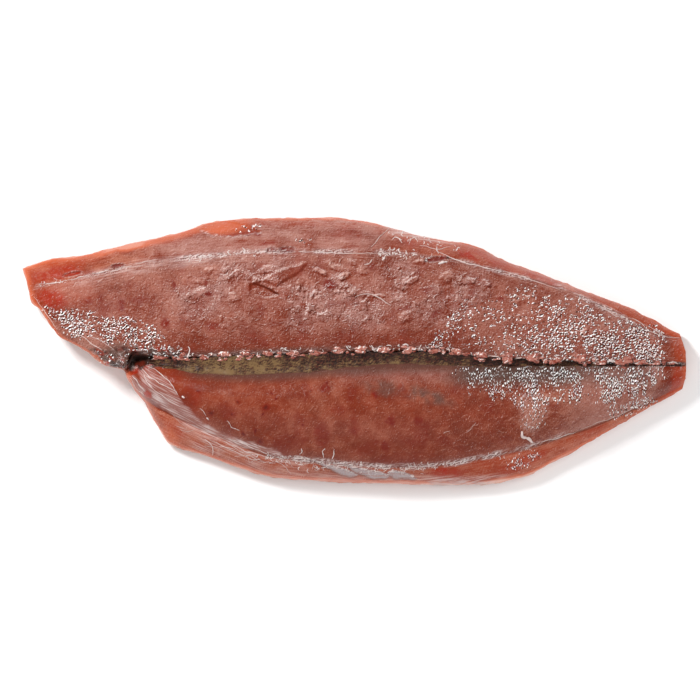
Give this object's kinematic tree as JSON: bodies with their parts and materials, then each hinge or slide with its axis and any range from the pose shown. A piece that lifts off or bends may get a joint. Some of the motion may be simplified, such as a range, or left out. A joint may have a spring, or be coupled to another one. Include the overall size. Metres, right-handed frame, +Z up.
{
  "type": "skinned raw fish side",
  "caption": "Raw fish side without head, tail, fins or skin, lying flat: two domed lobes of red-brown flesh along a lengthwise groove.",
  "frame": {"origin": "on the resting surface, under the middle of the side's bounding box", "axes": "+X from the head cut to the tail cut, +Y towards the back edge, +Z up out of the rounded outer side"},
  "size_m": [0.42, 0.1695, 0.0536],
  "materials": {
    "raw_flesh": "wet raw flesh, soft and slightly see-through, with pale membrane, gristle and a thin strip of olive skin"
  },
  "bodies": {
    "root": {"fish_side": "raw_flesh"}
  },
  "joints": []
}
